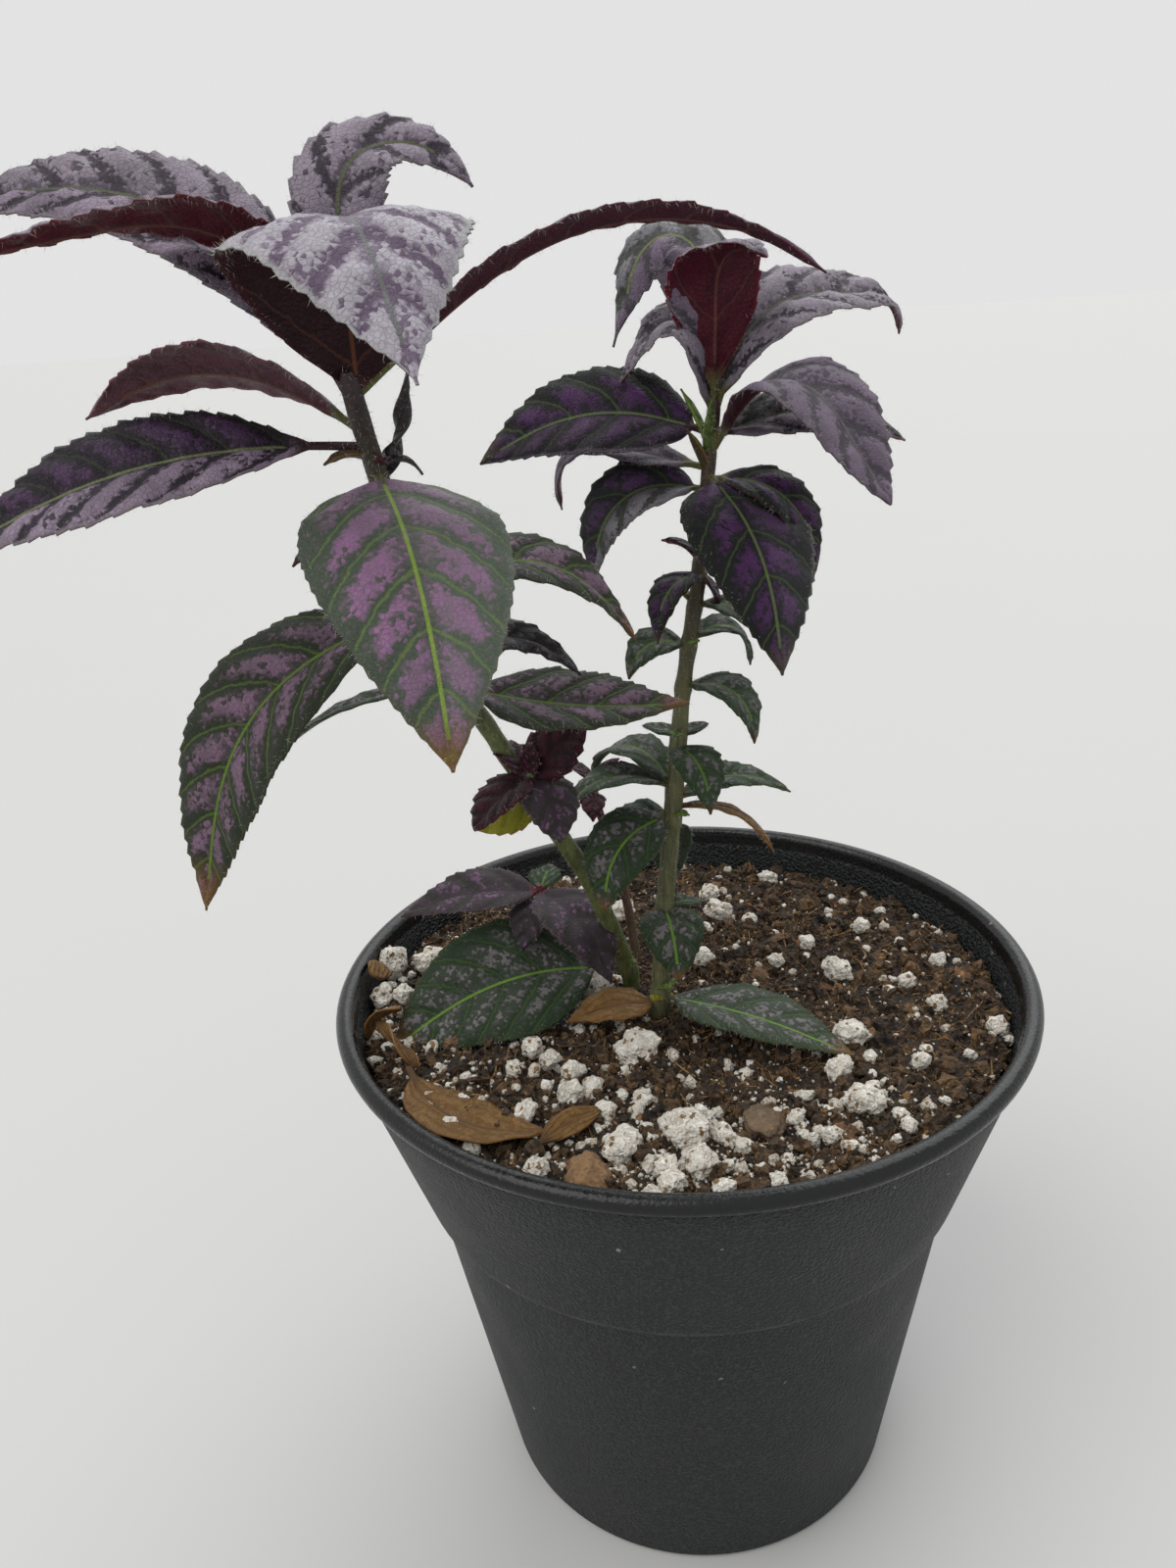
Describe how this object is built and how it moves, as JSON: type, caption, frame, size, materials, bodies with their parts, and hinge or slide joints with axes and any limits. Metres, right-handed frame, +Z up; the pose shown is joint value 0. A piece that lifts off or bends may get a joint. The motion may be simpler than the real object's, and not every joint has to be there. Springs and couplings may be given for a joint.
{
  "type": "potted persian shield plant",
  "caption": "Round black nursery pot filled with potting mix, holding two leafy stems and two young shoots with long pointed toothed leaves, purple and silver between dark green veins",
  "frame": {"origin": "centre of the flat underside of the pot, on the surface it rests on", "axes": "+Z is up along the pot's axis; -Y is the side the two stems lean towards"},
  "size_m": [0.1811, 0.1656, 0.2851],
  "materials": {
    "pot_plastic": "charcoal black plastic with a fine pebbled grain",
    "potting_mix": "dark brown crumbly potting mix with white perlite",
    "leaf_green": "soft leaf, green and mauve between dark veins",
    "leaf_purple": "soft leaf, silvery purple between dark green veins, burgundy below",
    "dead_leaf": "dry brown leaf and bark"
  },
  "bodies": {
    "root": {"pot": "pot_plastic", "soil": "potting_mix", "plant_right": "leaf_green", "plant_left": "leaf_purple", "shoot_low": "leaf_purple", "shoot_back": "leaf_purple", "dry_leaf": "dead_leaf", "dry_leaf_tip": "dead_leaf", "bark_front": "dead_leaf", "bark_chip": "dead_leaf"}
  },
  "joints": []
}
